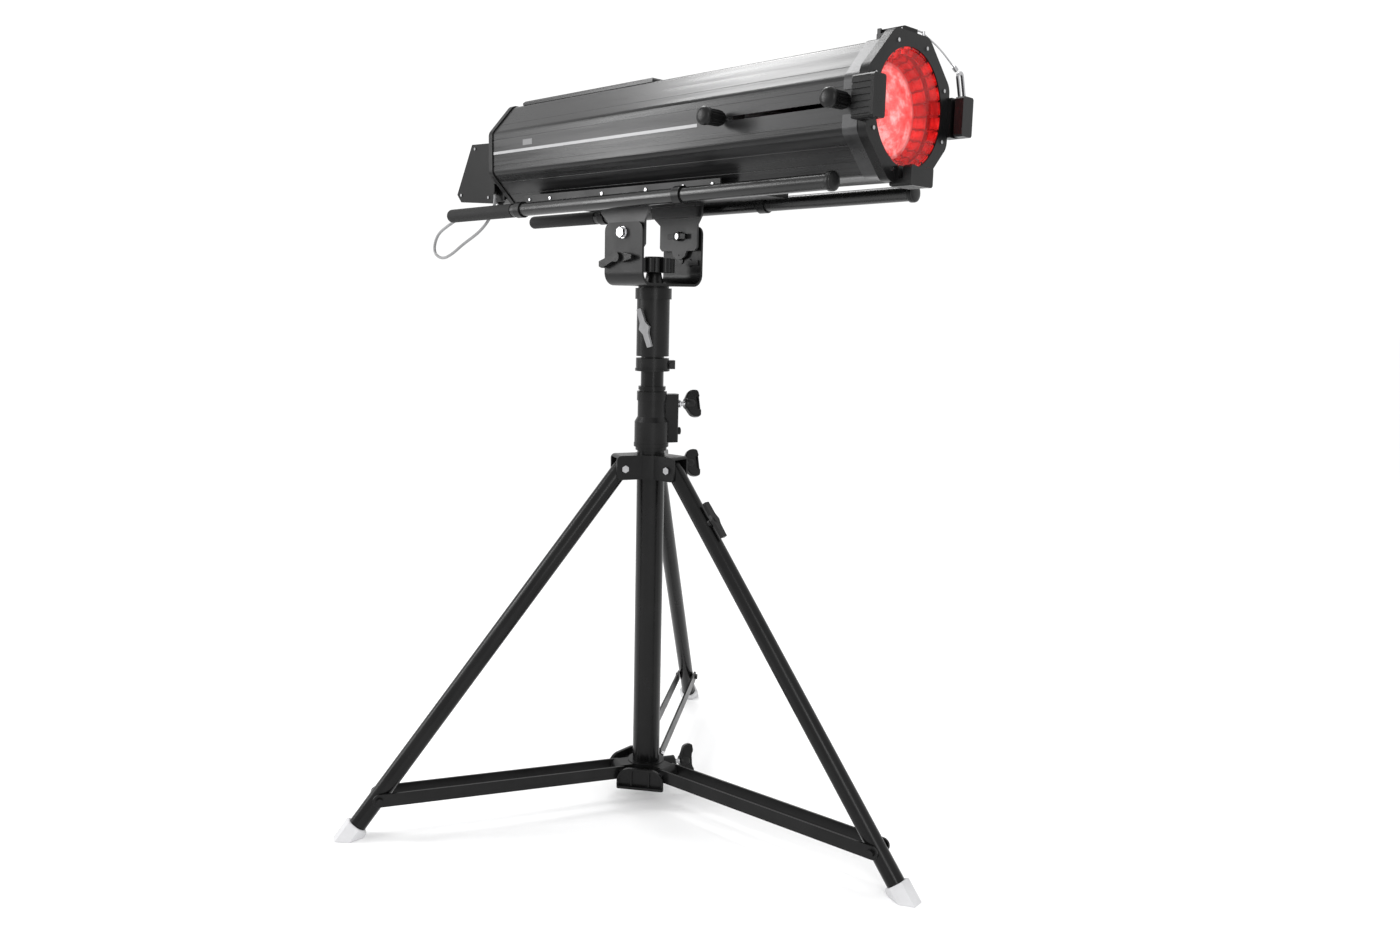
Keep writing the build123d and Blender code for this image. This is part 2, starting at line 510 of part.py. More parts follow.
# ==== head: optics ====
rod_y = ((-76, -62), (76, -62), (62, 70))
guides = [rod((33, y, AXIS_Z + z), (SHELL_X[1] - 1.2, y, AXIS_Z + z), 4.0) for y, z in rod_y]
add("guide_rods", *guides)
for name, x, r, back in (("rear", LENS_X[0], 76, 0), ("front", LENS_X[1], 80, FRONT_LENS_BACK)):
    glass_x = x - back
    hoop = pipe((glass_x - 8, 0, AXIS_Z), (x + 11, 0, AXIS_Z), r + 5, r - 2)
    if back:
        hoop += pipe((glass_x + 5, 0, AXIS_Z), (glass_x + 9, 0, AXIS_Z), r, r - 7)
        for k in range(24):
            hoop += Pos(0, 0, AXIS_Z) * Rot(15 * k, 0, 0) * box((glass_x + 8, x + 8), (r - 3.5, r - 1), (-1.2, 1.2))
    hoop += pipe((x - 3, 0, AXIS_Z), (x + 3, 0, AXIS_Z), 106, r - 2) & section(-SHELL_T - 2, x - 3, x + 3)
    for y, z in rod_y:
        hoop += rod((x - 11, y, AXIS_Z + z), (x + 11, y, AXIS_Z + z), 8.5)
    hoop += box((x - 11, x + 11), (-104, -r - 1), (SLOT_Z - 12, SLOT_Z + 12))
    hoop -= pipe((glass_x - 5, 0, AXIS_Z), (glass_x + 5, 0, AXIS_Z), r, r - 3)
    if not back:
        hoop -= rod((x - 20, 0, AXIS_Z), (x + 20, 0, AXIS_Z), r - 3)
    for y, z in rod_y:
        hoop -= rod((x - 12, y, AXIS_Z + z), (x + 12, y, AXIS_Z + z), 4.0 + FIT)
    hoop -= rod((x, -120, SLOT_Z), (x, -96, SLOT_Z), 2.5 + FIT)
    hoop += pipe((x, -103, SLOT_Z), (x, -116.5, SLOT_Z), 3.2, 2.5 + FIT)
    add(name + "_lens_carrier", hoop)
    rim = r - 3.5
    crown = [(glass_x + 2 + 12 * (1 - (k / 12) ** 2), rim * k / 12) for k in range(13)]
    edge = [(glass_x - 1, rim), (glass_x - 1, r - 0.2), (glass_x - 4, r - 0.2), (glass_x - 4, 0)]
    glass = revolve(Plane.XZ * make_face(Polyline(*(crown + edge), close=True)), Axis.X)
    add(name + "_lens", Pos(0, 0, AXIS_Z) * glass)
    knob = rod((x, -97, SLOT_Z), (x, -150, SLOT_Z), 2.5)
    grip = Plane(origin=(x, -119, SLOT_Z), z_dir=(0, -1, 0)) * (
        Pos(0, 0, 3) * Cylinder(15, 6) + Pos(0, 0, 22) * Cylinder(13.5, 34) + Pos(0, 0, 43) * Cylinder(15, 10))
    add(name + "_lens_knob", knob + grip)

back = rod((30, 0, AXIS_Z), (33, 0, AXIS_Z), 96) - rod((20, 0, AXIS_Z), (40, 0, AXIS_Z), 34)
back &= section(-SHELL_T, 20, 40)
back += pipe((24, 0, AXIS_Z), (31, 0, AXIS_Z), 50, 22)
add("gate_plate", back)
profile = [(-175, 14), (-172, 30), (-160, 52), (-140, 68), (-110, 82), (-70, 90), (-30, 90)]
outer_line = [(x, r) for x, r in profile]
inner_line = [(x + 1, r - 3) for x, r in reversed(profile)]
mirror_face = Plane.XZ * make_face(Polyline(*(outer_line + inner_line), close=True))
add("reflector", Pos(0, 0, AXIS_Z) * revolve(mirror_face, Axis.X))
bulb = rod((-176, 0, AXIS_Z), (-130, 0, AXIS_Z), 7) + Pos(-118, 0, AXIS_Z) * Sphere(14)
bulb += rod((-118, 0, AXIS_Z), (-92, 0, AXIS_Z), 5)
add("lamp_bulb", bulb)
socket = rod((-236, 0, AXIS_Z), (-178, 0, AXIS_Z), 26)
socket += box((-250, -236), (-109, 109), (AXIS_Z - 60, AXIS_Z + 60)) & section(-SHELL_T, -250, -236)
add("lamp_socket", socket)
fan = box((-330, -302), (-60, 60), (AXIS_Z - 60, AXIS_Z + 60)) - rod((-331, 0, AXIS_Z), (-301, 0, AXIS_Z), 55)
fan += rod((-326, 0, AXIS_Z), (-306, 0, AXIS_Z), 20) + box((-330, -326), (-60, 60), (AXIS_Z - 4, AXIS_Z + 4))
add("fan_frame", fan)
baffle = pipe((543, 0, AXIS_Z), (558, 0, AXIS_Z), MOUTH_R, MOUTH_R - 3)
for k in range(24):
    baffle += Pos(0, 0, AXIS_Z) * Rot(15 * k, 0, 0) * box((543, 553), (MOUTH_R - 9, MOUTH_R - 2), (-2, 2))
baffle += pipe((547, 0, AXIS_Z), (549, 0, AXIS_Z), MOUTH_R - 2, MOUTH_R - 9)
add("mouth_baffle", baffle)
add("colour_filter", rod((556, 0, AXIS_Z), (557, 0, AXIS_Z), MOUTH_R - 3))

# ==== head: latch, wire clips, safety wire ====
LATCH_Z = AXIS_Z + 114.0
HINGE = (512.0, LATCH_Z + 5.0)
latch = box((508, 543.8), (-22, 22), (AXIS_Z + 98, LATCH_Z))
latch -= box((514, 540), (-24, 10), (AXIS_Z + 103, LATCH_Z - 4))
for side in (-1, 1):
    latch += box((HINGE[0] - 3, HINGE[0] + 3), sorted((side * 18.4, side * 22)), (LATCH_Z - 6, HINGE[1] + 3))
latch += rod((HINGE[0], -20, HINGE[1]), (HINGE[0], 20, HINGE[1]), 1.5)
add("latch_base", latch)
lid = rod((HINGE[0], -18, HINGE[1]), (HINGE[0], 18, HINGE[1]), 3.0)
lid += box((HINGE[0], 556), (-18, 18), (LATCH_Z + 2.5, LATCH_Z + 6.5))
lid += box((552, 556), (-18, 18), (AXIS_Z + PLATE_APOTHEM + 0.4, LATCH_Z + 6))
add("latch_lid", lid - rod((HINGE[0], -30, HINGE[1]), (HINGE[0], 30, HINGE[1]), 1.5 + FIT))

wire = cord([(552, 40, 1461), (556, 82, 1446), (561, 124, 1420)], 1.3)
wire += rod((560.6, 118, 1423.5), (561.4, 127, 1418), 4) + rod((552, 40, 1455.05), (552, 40, 1464), 3)
add("safety_wire", wire)
oval = Plane(origin=(564, 140, 1393), x_dir=(0, 0.3, -0.95), z_dir=(1, 0, 0)) * SlotOverall(50, 18)
hook = extrude(oval, 2, both=True)
oval = Plane(origin=(564, 140, 1393), x_dir=(0, 0.3, -0.95), z_dir=(1, 0, 0)) * SlotOverall(42, 10)
add("safety_hook", hook - extrude(oval, 3, both=True))

os.makedirs("parts", exist_ok=True)
for name, solids in PARTS.items():
    moved = [Pos(-CENTRE[0], -CENTRE[1], -FLOOR_Z) * solid for solid in solids]
    shape = moved[0] if len(moved) == 1 else Compound(children=moved)
    export_step(shape, "parts/" + name + ".step")
print(len(PARTS), "nodes")
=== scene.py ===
import json
import math

import bmesh
import bpy
from mathutils import Matrix, Vector


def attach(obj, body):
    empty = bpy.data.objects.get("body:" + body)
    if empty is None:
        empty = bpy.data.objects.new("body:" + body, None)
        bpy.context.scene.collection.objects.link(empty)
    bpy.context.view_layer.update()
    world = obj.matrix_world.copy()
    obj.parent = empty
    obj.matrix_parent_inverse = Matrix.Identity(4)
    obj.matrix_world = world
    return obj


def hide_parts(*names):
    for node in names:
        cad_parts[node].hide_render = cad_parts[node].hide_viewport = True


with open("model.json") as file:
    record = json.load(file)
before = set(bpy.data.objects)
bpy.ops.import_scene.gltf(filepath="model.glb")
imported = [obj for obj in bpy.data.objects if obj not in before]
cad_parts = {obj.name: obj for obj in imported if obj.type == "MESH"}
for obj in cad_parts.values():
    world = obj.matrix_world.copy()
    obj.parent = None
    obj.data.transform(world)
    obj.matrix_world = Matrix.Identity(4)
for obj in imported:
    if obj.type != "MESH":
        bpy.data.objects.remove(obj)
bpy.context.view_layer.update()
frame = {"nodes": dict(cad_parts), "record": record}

# Places below are in millimetres from the column axis, as drawn in the CAD source.
CENTRE = (33.0, -27.0)
FLOOR_Z = 22.0
AXIS_Z = 1342.0
SLOT_Z = 1341.0
LENS_X = {"front": 526.0, "rear": 276.0}
RAIL_Y = 113.0
RAIL_RISE = ((-524.0, 1217.0), (500.0, 1227.0))
KNOB_AZ = math.radians(65.0)    # heading of the wing screws, between two legs
CABLE_DIAMETER = 6.4
WIRE_R = 1.3
MOUTH_TILES = 24

# The camera's place is in the same millimetres, and its turns are in degrees.
CAMERA_PLACE = (1541.4, -1502.8, 1040.0)
CAMERA_TURNS = (45.31, -8.5625, 1.0099)
CAMERA_LENS = 28.112
CAMERA_SHIFT = 0.02958


def at(x, y, z):
    return Vector(((x - CENTRE[0]) / 1000, (y - CENTRE[1]) / 1000, (z - FLOOR_Z) / 1000))


def mm(value):
    return value / 1000


# ---- camera ----
def add_camera():
    yaw, pitch, roll = (math.radians(turn) for turn in CAMERA_TURNS)
    level = math.cos(pitch)
    forward = Vector((-math.sin(yaw) * level, math.cos(yaw) * level, math.sin(pitch)))
    side = Vector((math.cos(yaw), math.sin(yaw), 0.0))
    up = side.cross(forward)
    x_axis = math.cos(roll) * side + math.sin(roll) * up
    y_axis = -math.sin(roll) * side + math.cos(roll) * up
    data = bpy.data.cameras.new("camera")
    data.sensor_width = 36.0
    data.lens = CAMERA_LENS
    data.shift_x = CAMERA_SHIFT
    data.clip_start, data.clip_end = 0.05, 200.0
    camera = bpy.data.objects.new("camera", data)
    bpy.context.scene.collection.objects.link(camera)
    turn = Matrix((x_axis, y_axis, -forward)).transposed().to_4x4()
    camera.matrix_world = Matrix.Translation(at(*CAMERA_PLACE)) @ turn
    bpy.context.scene.camera = camera


# ---- node helpers ----
class Nodes:
    """A material's node tree, with one short call for each kind of node."""

    def __init__(self, name):
        self.material = bpy.data.materials.new(name)
        self.material.use_nodes = True
        self.tree = self.material.node_tree
        self.shader = self.tree.nodes["Principled BSDF"]
        self.place = self.tree.nodes.new("ShaderNodeTexCoord").outputs["Object"]

    def link(self, a, b):
        self.tree.links.new(a, b)

    def spread(self, scale, rotation=(0, 0, 0)):
        node = self.tree.nodes.new("ShaderNodeMapping")
        node.inputs["Scale"].default_value = scale
        node.inputs["Rotation"].default_value = rotation
        self.link(self.place, node.inputs["Vector"])
        return node.outputs["Vector"]

    def noise(self, place, scale, detail=3.0, rough=0.5):
        node = self.tree.nodes.new("ShaderNodeTexNoise")
        node.inputs["Scale"].default_value = scale
        node.inputs["Detail"].default_value = detail
        node.inputs["Roughness"].default_value = rough
        self.link(place, node.inputs["Vector"])
        return node.outputs["Fac"]

    def ramp(self, value, stops):
        node = self.tree.nodes.new("ShaderNodeValToRGB")
        elements = node.color_ramp.elements
        elements.remove(elements[1])
        elements[0].position, elements[0].color = stops[0][0], (*stops[0][1], 1.0)
        for place, colour in stops[1:]:
            elements.new(place).color = (*colour, 1.0)
        self.link(value, node.inputs["Fac"])
        return node.outputs["Color"]

    def span(self, value, low, high):
        node = self.tree.nodes.new("ShaderNodeMapRange")
        node.inputs["From Min"].default_value = 0.3
        node.inputs["From Max"].default_value = 0.7
        node.inputs["To Min"].default_value = low
        node.inputs["To Max"].default_value = high
        self.link(value, node.inputs["Value"])
        return node.outputs["Result"]

    def math(self, operation, a, b=None):
        node = self.tree.nodes.new("ShaderNodeMath")
        node.operation = operation
        for socket, value in zip(node.inputs, (a, b)):
            if isinstance(value, bpy.types.NodeSocket):
                self.link(value, socket)
            elif value is not None:
                socket.default_value = value
        return node.outputs["Value"]

    def mix(self, blend, factor, a, b):
        node = self.tree.nodes.new("ShaderNodeMix")
        node.data_type = "RGBA"
        node.blend_type = blend
        if isinstance(factor, bpy.types.NodeSocket):
            self.link(factor, node.inputs["Factor"])
        else:
            node.inputs["Factor"].default_value = factor
        self.link(a, node.inputs[6])
        self.link(b, node.inputs[7])
        return node.outputs[2]

    def bump(self, height, strength, distance):
        node = self.tree.nodes.new("ShaderNodeBump")
        node.inputs["Strength"].default_value = strength
        node.inputs["Distance"].default_value = distance
        self.link(height, node.inputs["Height"])
        self.link(node.outputs["Normal"], self.shader.inputs["Normal"])

    def frontward(self):
        """One on faces that look out of the lamp's mouth, zero on those that look back into the body."""
        normal = self.tree.nodes.new("ShaderNodeSeparateXYZ")
        self.link(self.tree.nodes.new("ShaderNodeTexCoord").outputs["Normal"], normal.inputs["Vector"])
        return self.math("GREATER_THAN", normal.outputs["X"], -0.2)

    def set(self, **values):
        for name, value in values.items():
            self.shader.inputs[name.replace("_", " ")].default_value = value


def grey(value):
    return (value, value, value * 1.02)


def coated(name, dark, light, rough, grain=900.0, bump=0.12, patch=14.0, metal=0.0, stretch=(1, 1, 1),
           level=0.5):
    """Paint, plastic, rubber or bare metal: clouded colour and gloss, and a fine grain.

    dark and light are the ends of the colour, and rough the ends of the roughness. grain and patch are the
    scales of the fine and the cloudy noise.
    """
    nodes = Nodes(name)
    place = nodes.spread(stretch)
    cloud = nodes.noise(place, patch, 4.0, 0.6)
    fine = nodes.noise(place, grain, 2.0)
    nodes.link(nodes.ramp(cloud, [(0.3, dark), (0.7, light)]), nodes.shader.inputs["Base Color"])
    nodes.link(nodes.span(cloud, rough[0], rough[1]), nodes.shader.inputs["Roughness"])
    nodes.bump(fine, bump, 0.0006)
    nodes.set(Metallic=metal, Specular_IOR_Level=level)
    return nodes.material


def from_axis(nodes):
    """Distance from the lamp's axis, and the angle round it, of each point on the surface."""
    shift = nodes.tree.nodes.new("ShaderNodeVectorMath")
    shift.operation = "SUBTRACT"
    nodes.link(nodes.place, shift.inputs[0])
    shift.inputs[1].default_value = at(0, 0, AXIS_Z)
    flat = nodes.tree.nodes.new("ShaderNodeVectorMath")
    flat.operation = "MULTIPLY"
    nodes.link(shift.outputs["Vector"], flat.inputs[0])
    flat.inputs[1].default_value = (0.0, 1.0, 1.0)
    reach = nodes.tree.nodes.new("ShaderNodeVectorMath")
    reach.operation = "LENGTH"
    nodes.link(flat.outputs["Vector"], reach.inputs[0])
    split = nodes.tree.nodes.new("ShaderNodeSeparateXYZ")
    nodes.link(flat.outputs["Vector"], split.inputs["Vector"])
    angle = nodes.math("ARCTAN2", split.outputs["Y"], split.outputs["Z"])
    return reach.outputs["Value"], angle


def lit_ring(name, reach_max):
    """Dark metal outside, and within reach_max metres of the axis tiles lit by a painted red glow, with
    painted shade across each tile and dark joints between them.
    """
    nodes = Nodes(name)
    reach, angle = from_axis(nodes)
    turns = nodes.math("MULTIPLY", angle, MOUTH_TILES / (2 * math.pi))
    # Painted shade across each tile: brightest in its middle, darker towards its edges, and dark at the
    # joints.
    shades = [(0.0, grey(0.05)), (0.07, grey(0.1)), (0.12, grey(0.8)), (0.5, grey(1.0)), (0.88, grey(0.7)),
              (0.94, grey(0.05))]
    tile = nodes.ramp(nodes.math("FRACT", turns), shades)
    cloud = nodes.noise(nodes.spread((1, 1, 1)), 34.0, 5.0, 0.6)
    reds = [(0.35, (0.16, 0.002, 0.002)), (0.52, (0.5, 0.008, 0.008)), (0.68, (0.85, 0.03, 0.025))]
    red = nodes.ramp(cloud, reds)
    # Painted red glow of the tiles, used as their colour and their emission, standing in for the lamp's red
    # light falling on them.
    painted_glow_tiles = nodes.mix("MULTIPLY", 1.0, red, tile)
    inside = nodes.math("MULTIPLY", nodes.math("LESS_THAN", reach, reach_max), nodes.frontward())
    metal = nodes.ramp(cloud, [(0.3, grey(0.02)), (0.7, grey(0.04))])
    nodes.link(nodes.mix("MIX", inside, metal, painted_glow_tiles), nodes.shader.inputs["Base Color"])
    nodes.link(painted_glow_tiles, nodes.shader.inputs["Emission Color"])
    nodes.link(nodes.math("MULTIPLY", inside, 0.42), nodes.shader.inputs["Emission Strength"])
    nodes.link(nodes.span(cloud, 0.18, 0.34), nodes.shader.inputs["Roughness"])
    nodes.set(Specular_IOR_Level=0.25)
    return nodes.material


def lit_lens(name):
    """Lens with a painted glow standing in for the lamp's red light behind it: mottled pink with painted
    bright patches in the middle, painted shade to deep red at the rim, and one thin painted highlight ring
    there.
    """
    nodes = Nodes(name)
    reach = from_axis(nodes)[0]
    cloud = nodes.noise(nodes.spread((1, 1, 1.3)), 26.0, 8.0, 0.72)
    grain = nodes.noise(nodes.spread((1, 1, 1)), 260.0, 2.0)
    pinks = [(0.34, (0.74, 0.05, 0.05)), (0.48, (1.0, 0.2, 0.19)), (0.62, (1.0, 0.68, 0.66))]
    pink = nodes.ramp(cloud, pinks)
    # Painted shade towards the lens's rim, with one thin painted highlight ring.
    shades = [(0.0, grey(1.0)), (0.066, grey(0.95)), (0.073, grey(0.3)), (0.0755, grey(0.8)),
              (0.079, grey(0.15))]
    rim = nodes.ramp(reach, shades)
    colour = nodes.mix("MULTIPLY", 1.0, pink, rim)
    nodes.link(colour, nodes.shader.inputs["Base Color"])
    nodes.link(colour, nodes.shader.inputs["Emission Color"])
    nodes.link(nodes.span(cloud, 0.08, 0.2), nodes.shader.inputs["Roughness"])
    nodes.bump(grain, 0.2, 0.001)
    # Painted glow: emission on the faces that look out of the lamp's mouth.
    nodes.link(nodes.math("MULTIPLY", nodes.frontward(), 0.66), nodes.shader.inputs["Emission Strength"])
    return nodes.material


ALONG = (0.04, 1.0, 1.0)    # draws the noise out into streaks along the lamp
MATERIALS = {
    "black_steel_tube": coated("tube_paint", grey(0.002), grey(0.005), (0.2, 0.3), level=0.2),
    "black_casting": coated("casting_paint", grey(0.003), grey(0.009), (0.26, 0.38), 500.0, 0.3,
                            level=0.18),
    "zinc_fastener": coated("zinc", grey(0.32), grey(0.5), (0.12, 0.28), metal=1.0, bump=0.05),
    "white_rubber": coated("white_rubber", grey(0.5), grey(0.62), (0.5, 0.65), 300.0, 0.2),
    "black_bar": coated("bar_paint", grey(0.003), grey(0.008), (0.28, 0.4), 700.0, 0.15, level=0.2),
    "black_plastic": coated("black_plastic", grey(0.003), grey(0.007), (0.25, 0.36), 1200.0, 0.2,
                            level=0.22),
    "dark_lever": coated("lever_metal", grey(0.2), grey(0.34), (0.34, 0.48), metal=0.8, bump=0.15),
    "satin_extrusion": coated("satin_extrusion", grey(0.003), grey(0.032), (0.18, 0.42), 700.0, 0.08, 42.0,
                              0.3, ALONG, 0.3),
    "black_sheet": coated("black_sheet", grey(0.002), grey(0.005), (0.4, 0.5), 900.0, 0.2, level=0.15),
    "rail_paint": coated("rail_paint", grey(0.003), grey(0.008), (0.2, 0.32), level=0.4),
    "foam_grip": coated("foam_grip", grey(0.005), grey(0.013), (0.6, 0.75), 420.0, 0.6, level=0.25),
    "cable_rubber": coated("cable_rubber", grey(0.16), grey(0.24), (0.3, 0.42), 1500.0, 0.1),
    "bright_steel": coated("bright_steel", grey(0.3), grey(0.5), (0.2, 0.32), metal=1.0, bump=0.1),
    "dark_aluminium": coated("dark_aluminium", grey(0.1), grey(0.18), (0.35, 0.5), metal=0.8),
    "reflector_mirror": coated("reflector_mirror", grey(0.8), grey(0.9), (0.04, 0.09), metal=1.0,
                               bump=0.02),
    "lens_glass": lit_lens("lens_glass"),
    "bulb_glass": coated("bulb_glass", grey(0.8), grey(0.9), (0.05, 0.1), bump=0.02),
    "socket_ceramic": coated("socket_ceramic", (0.72, 0.69, 0.62), (0.8, 0.77, 0.7), (0.3, 0.45)),
    "plain_glass": coated("plain_glass", grey(0.3), grey(0.36), (0.05, 0.1), bump=0.02),
    "satin_tongue": coated("satin_tongue", grey(0.02), grey(0.035), (0.28, 0.4), level=0.3),
    "carrier_ring": lit_ring("carrier_ring", 0.084),
    "mouth_ring": lit_ring("mouth_ring", 0.0925),
    "light_plate": coated("light_plate", grey(0.2), grey(0.3), (0.35, 0.45), metal=0.2, bump=0.05),
    "label_plate": coated("label_plate", grey(0.09), grey(0.15), (0.4, 0.5), bump=0.05),
    "light_casting": coated("light_casting", grey(0.03), grey(0.06), (0.26, 0.38), metal=0.6),
}


def red_filter():
    nodes = Nodes("red_filter")
    cloud = nodes.noise(nodes.spread((1, 1, 1)), 30.0, 2.0)
    nodes.link(nodes.ramp(cloud, [(0.3, (0.66, 0.012, 0.012)), (0.7, (0.8, 0.03, 0.03))]),
               nodes.shader.inputs["Base Color"])
    nodes.link(nodes.span(cloud, 0.05, 0.12), nodes.shader.inputs["Roughness"])
    nodes.set(Alpha=0.22)
    return nodes.material


MATERIALS["red_filter"] = red_filter()


def paint(obj, key):
    obj.data.materials.clear()
    obj.data.materials.append(MATERIALS[key])


# Nodes whose finish differs from that of their material slot.
OWN_FINISH = {
    "mouth_baffle": "mouth_ring",
    "front_lens_carrier": "carrier_ring",
    "front_collar": "light_casting",
    "latch_base": "light_casting",
    "rear_lens": "plain_glass",
    "tilt_wing": "black_plastic",
    "tilt_lock_near": "black_plastic",
    "tilt_lock_far": "black_plastic",
    "leg_lever": "black_plastic",
    "tilt_tongues": "satin_tongue",
}
for part in frame["record"]["subparts"]:
    paint(frame["nodes"][part["node"]], OWN_FINISH.get(part["node"], part["material_slot"]))


# ---- mesh helpers ----
def make(name, mesh, body, key):
    obj = bpy.data.objects.new(name, mesh)
    bpy.context.scene.collection.objects.link(obj)
    paint(obj, key)
    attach(obj, body)
    return obj


def slab(name, low, high, body, key, bevel=0.6):
    """Block between two corners in millimetres, with rounded edges."""
    a, b = at(*low), at(*high)
    form = bmesh.new()
    bmesh.ops.create_cube(form, size=1.0)
    for vert in form.verts:
        for k in range(3):
            vert.co[k] = a[k] if vert.co[k] < 0 else b[k]
    bmesh.ops.bevel(form, geom=form.edges[:], offset=mm(bevel), segments=2, affect="EDGES")
    mesh = bpy.data.meshes.new(name)
    form.to_mesh(mesh)
    form.free()
    return make(name, mesh, body, key)


def lathe(name, start, along, profile, body, key, steps=48, flute=None):
    """Turned piece: profile is (distance along, radius) in millimetres, and flute scales a radius."""
    axis = Vector(along).normalized()
    side = axis.orthogonal().normalized()
    other = axis.cross(side)
    origin = at(*start)
    form = bmesh.new()
    rings = []
    for s, r in profile:
        ring = []
        for k in range(steps):
            a = 2 * math.pi * k / steps
            radius = r * (flute(s, a) if flute else 1.0)
            out = side * math.cos(a) + other * math.sin(a)
            ring.append(form.verts.new(origin + axis * mm(s) + out * mm(radius)))
        rings.append(ring)
    for lower, upper in zip(rings, rings[1:]):
        for k in range(steps):
            form.faces.new((lower[k], lower[(k + 1) % steps], upper[(k + 1) % steps], upper[k]))
    form.faces.new(list(reversed(rings[0])))
    form.faces.new(rings[-1])
    bmesh.ops.recalc_face_normals(form, faces=form.faces[:])
    for face in form.faces:
        face.smooth = len(face.verts) == 4
    mesh = bpy.data.meshes.new(name)
    form.to_mesh(mesh)
    form.free()
    return make(name, mesh, body, key)


def plate(name, start, along, up, outline, thick, rim, body, key):
    """Flat piece: outline is (across, along) in millimetres, in the plane of up and along."""
    axis = Vector(along).normalized()
    rise = (Vector(up) - axis * Vector(up).dot(axis)).normalized()
    normal = axis.cross(rise)
    origin = at(*start)
    form = bmesh.new()
    faces = []
    for offset in (-thick / 2, thick / 2):
        middle = origin + normal * mm(offset)
        corners = [form.verts.new(middle + rise * mm(u) + axis * mm(v)) for u, v in outline]
        faces.append(form.faces.new(corners))
    count = len(outline)
    lower, upper = list(faces[0].verts), list(faces[1].verts)
    for k in range(count):
        form.faces.new((lower[k], lower[(k + 1) % count], upper[(k + 1) % count], upper[k]))
    bmesh.ops.recalc_face_normals(form, faces=form.faces[:])
    rims = [edge for face in faces for edge in face.edges]
    bmesh.ops.bevel(form, geom=rims, offset=mm(rim), segments=3, affect="EDGES")
    for face in form.faces:
        face.smooth = True
    mesh = bpy.data.meshes.new(name)
    form.to_mesh(mesh)
    form.free()
    mesh.set_sharp_from_angle(angle=math.radians(50))
    return make(name, mesh, body, key)


def rounded(points, radius, steps=4):
    """Outline with each corner replaced by a short arc of its own, in millimetres."""
    result = []
    for k, corner in enumerate(points):
        here = Vector(corner)
        before = Vector(points[k - 1]) - here
        after = Vector(points[(k + 1) % len(points)]) - here
        reach = min(radius, before.length * 0.45, after.length * 0.45)
        p, q = here + before.normalized() * reach, here + after.normalized() * reach
        for i in range(steps + 1):
            t = i / steps
            result.append(tuple(p * (1 - t) ** 2 + here * 2 * t * (1 - t) + q * t ** 2))
    return result


def wire(name, points, radius, body, key, order=3):
    """Round wire on one smooth line through the given control points."""
    curve = bpy.data.curves.new(name, "CURVE")
    curve.dimensions = "3D"
    curve.bevel_depth = mm(radius)
    curve.bevel_resolution = 6
    curve.use_fill_caps = True
    spline = curve.splines.new("NURBS")
    spline.points.add(len(points) - 1)
    for point, place in zip(spline.points, points):
        point.co = (*at(*place), 1.0)
    spline.order_u = order
    spline.use_endpoint_u = True
    spline.resolution_u = 12
    return make(name, curve, body, key)


# ---- power cable ----
CABLE = [(-408, -79, 1272), (-398, -84, 1244), (-408, -92, 1208), (-442, -97, 1180), (-500, -97, 1158),
         (-545, -97, 1136), (-584, -97, 1126), (-620, -96, 1142), (-607, -95, 1180), (-565, -93, 1200),
         (-515, -88, 1218), (-462, -78, 1226), (-428, -62, 1230), (-416, -56, 1246)]
cable = wire("cable", CABLE, CABLE_DIAMETER / 2, "head", "cable_rubber")
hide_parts("power_cable")

add_camera()


# ---- lamp body details ----
slab("side_stripe", (-366, -112.5, 1334.6), (214, -111.6, 1340.2), "head", "light_plate",
     0.2)
slab("blank_label", (-268, -112.4, 1346), (-238, -111.6, 1357), "head", "label_plate",
     0.15)
(rear_x, rear_z), (front_x, front_z) = RAIL_RISE
for side in (-1, 1):
    lathe("rail_cap_" + ("near" if side < 0 else "far"), (front_x - 3, side * RAIL_Y, front_z),
          (front_x - rear_x, 0, front_z - rear_z),
          [(0, 14.6), (1, 15.4), (7, 15.6), (9, 14.8), (10.2, 12), (10.6, 6), (10.7, 0.5)],
          "head", "black_plastic")


def wire_clip(name, y0, y1):
    """Staple of spring wire standing on the front plate, between two places across the lamp."""
    points = [(550, y0, 1450), (551, y0, 1457), (552, y0, 1461.5), (552, y0 + 4, 1462.5),
              (552, y1 - 4, 1462.5), (552, y1, 1461.5), (551, y1, 1457), (550, y1, 1450)]
    wire(name, points, WIRE_R, "head", "bright_steel")


wire_clip("wire_clip_a", -17, 10)
wire_clip("wire_clip_b", 17, 44)


def knob_flutes(s, a):
    """Fourteen flutes round the waist of a lens knob, and none at its ends."""
    if s < 5 or s > 36:
        return 1.0
    return 1.0 - 0.09 * (0.5 + 0.5 * math.cos(14 * a)) ** 2


for place, x in LENS_X.items():
    body = "focus_knob" if place == "front" else "zoom_knob"
    knob = lathe(place + "_knob_grip", (x, -119, SLOT_Z), (0, -1, 0),
                 [(-22, 2.5), (-0.5, 2.5), (0, 9.5), (1, 11), (4, 11.5), (6, 13), (10, 13.4), (34, 13.6),
                  (36, 14.4), (39, 15), (43, 15), (46, 14), (48, 11.5), (49.2, 7), (49.6, 1)],
                 body, "black_plastic", 84, knob_flutes)
    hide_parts(place + "_lens_knob")


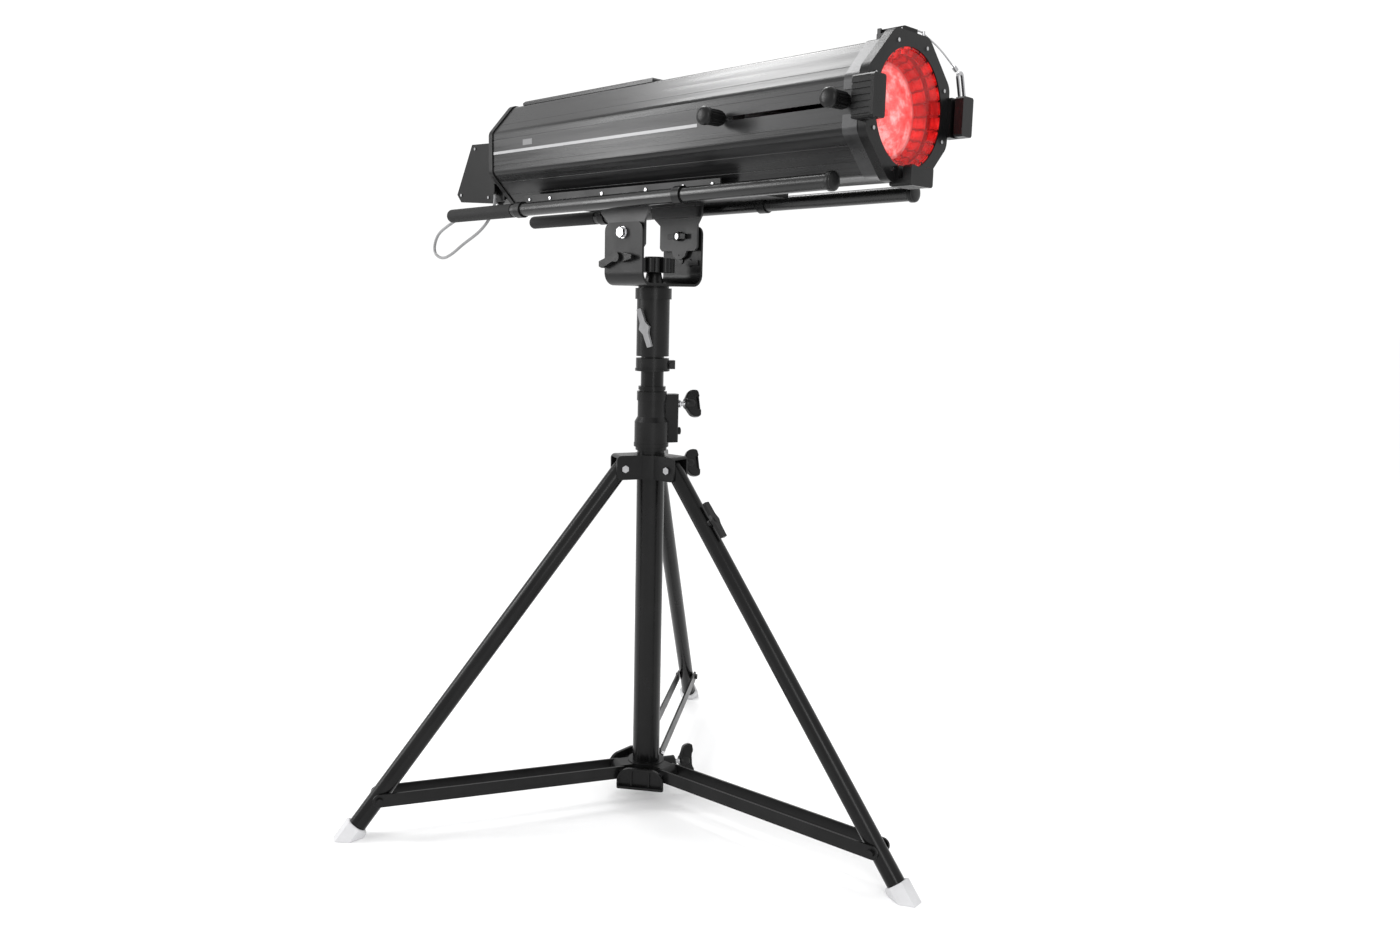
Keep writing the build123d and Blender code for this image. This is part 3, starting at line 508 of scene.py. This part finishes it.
# ---- wing screws ----
def wing_knob(node, radius, z, tilt, span, reach, thick):
    """Moulded wing knob whose screw points away from the column. Returns the screw's direction."""
    out = Vector((math.cos(KNOB_AZ), math.sin(KNOB_AZ), 0.0))
    across = Vector((-math.sin(KNOB_AZ), math.cos(KNOB_AZ), 0.0))
    up = across * math.sin(tilt) + Vector((0, 0, 1)) * math.cos(tilt)
    seat = (out.x * radius, out.y * radius, z)
    outline = [(-9, 1), (-15, 4), (-span + 3, 10), (-span, 19), (-span + 1, reach), (-span + 15, reach + 2),
               (-12, 27), (12, 27), (span - 15, reach + 2), (span - 1, reach), (span, 19), (span - 3, 10),
               (15, 4), (9, 1)]
    wings = plate(node + "_wings", seat, out, up, rounded(outline, 5.0), thick, 2.4, node, "black_plastic")
    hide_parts(node)
    hub = [(-0.2, 7), (0, 10), (1, 11), (8, 11.6), (17, 10.4), (21, 8.6), (22, 6), (22.3, 1)]
    lathe(node + "_hub", seat, out, hub, node, "black_plastic")
    return out


def screw(node, out, start, length, seat):
    """Threaded zinc rod from its tip to the knob, with a nut at the given distance along it."""
    radius, pitch = 4.9, 1.5
    root = radius * 0.86
    profile = [(0, radius)]
    for k in range(int(length / pitch) - 1):
        profile += [(k * pitch + 0.4, root), (k * pitch + 1.1, radius)]
    profile.append((length, radius))
    place = Vector(start)
    lathe(node + "_thread", tuple(place), out, profile, node, "zinc_fastener", 24)
    lathe(node + "_nut", tuple(place + out * seat), out, [(0, 7.4), (0.5, 8), (3.6, 8), (4, 7.4)], node,
          "zinc_fastener", 6)


# Node, tip and seat of the screw from the column axis, height, tilt, and the knob's span, reach and depth.
for node, tip, seat_radius, z, tilt, span, reach, thick in (
        ("collar_wing", 23.2, 69.0, 840.0, 0.36, 28.0, 31.0, 13.0),
        ("spider_wing", 28.2, 70.0, 720.0, 0.36, 28.0, 31.0, 13.0),
        ("base_wing", 28.2, 74.0, 88.0, 0.2, 34.0, 29.0, 14.0)):
    out = wing_knob(node, seat_radius, z, tilt, span, reach, thick)
    length = seat_radius - tip
    screw(node, out, (out.x * tip, out.y * tip, z), length + 1, length - 12.4)


# ---- light and floor ----
def softbox(name, place, aim, size, power):
    data = bpy.data.lights.new(name, "AREA")
    data.shape = "RECTANGLE"
    data.size, data.size_y = size
    data.energy = power
    light = bpy.data.objects.new(name, data)
    bpy.context.scene.collection.objects.link(light)
    light.location = place
    light.rotation_mode = "QUATERNION"
    light.rotation_quaternion = (Vector(aim) - Vector(place)).to_track_quat("-Z", "Y")


softbox("key", (-0.95, 0.32, 3.0), (0.3, -0.05, 1.4), (0.9, 0.7), 20.0)
softbox("band", (-1.3, -2.0, 1.8), (0.0, -0.1, 1.35), (1.5, 0.3), 8.0)
softbox("side", (-2.2, -2.1, 1.9), (0.0, 0.0, 1.1), (0.5, 2.0), 36.0)
softbox("fill", (2.6, -1.6, 1.6), (0.0, 0.0, 0.9), (0.7, 1.8), 22.0)

bpy.context.scene.view_settings.view_transform = "Standard"
world = bpy.data.worlds.new("world")
world.use_nodes = True
world.node_tree.nodes["Background"].inputs["Color"].default_value = (1.0, 1.0, 1.0, 1.0)
world.node_tree.nodes["Background"].inputs["Strength"].default_value = 1.05
bpy.context.scene.world = world


def pale_floor():
    """Plain floor a hair below the feet, reaching past the horizon of every view."""
    form = bmesh.new()
    bmesh.ops.create_circle(form, cap_ends=True, segments=96, radius=60.0)
    mesh = bpy.data.meshes.new("floor")
    form.to_mesh(mesh)
    form.free()
    floor = bpy.data.objects.new("floor", mesh)
    bpy.context.scene.collection.objects.link(floor)
    floor.location.z = -0.0005
    nodes = Nodes("floor_paint")
    cloud = nodes.noise(nodes.spread((1, 1, 1)), 2.0)
    nodes.link(nodes.ramp(cloud, [(0.3, (0.955, 0.955, 0.958)), (0.7, (0.975, 0.975, 0.978))]),
               nodes.shader.inputs["Base Color"])
    nodes.set(Roughness=1.0, Specular_IOR_Level=0.0)
    mesh.materials.append(nodes.material)


pale_floor()
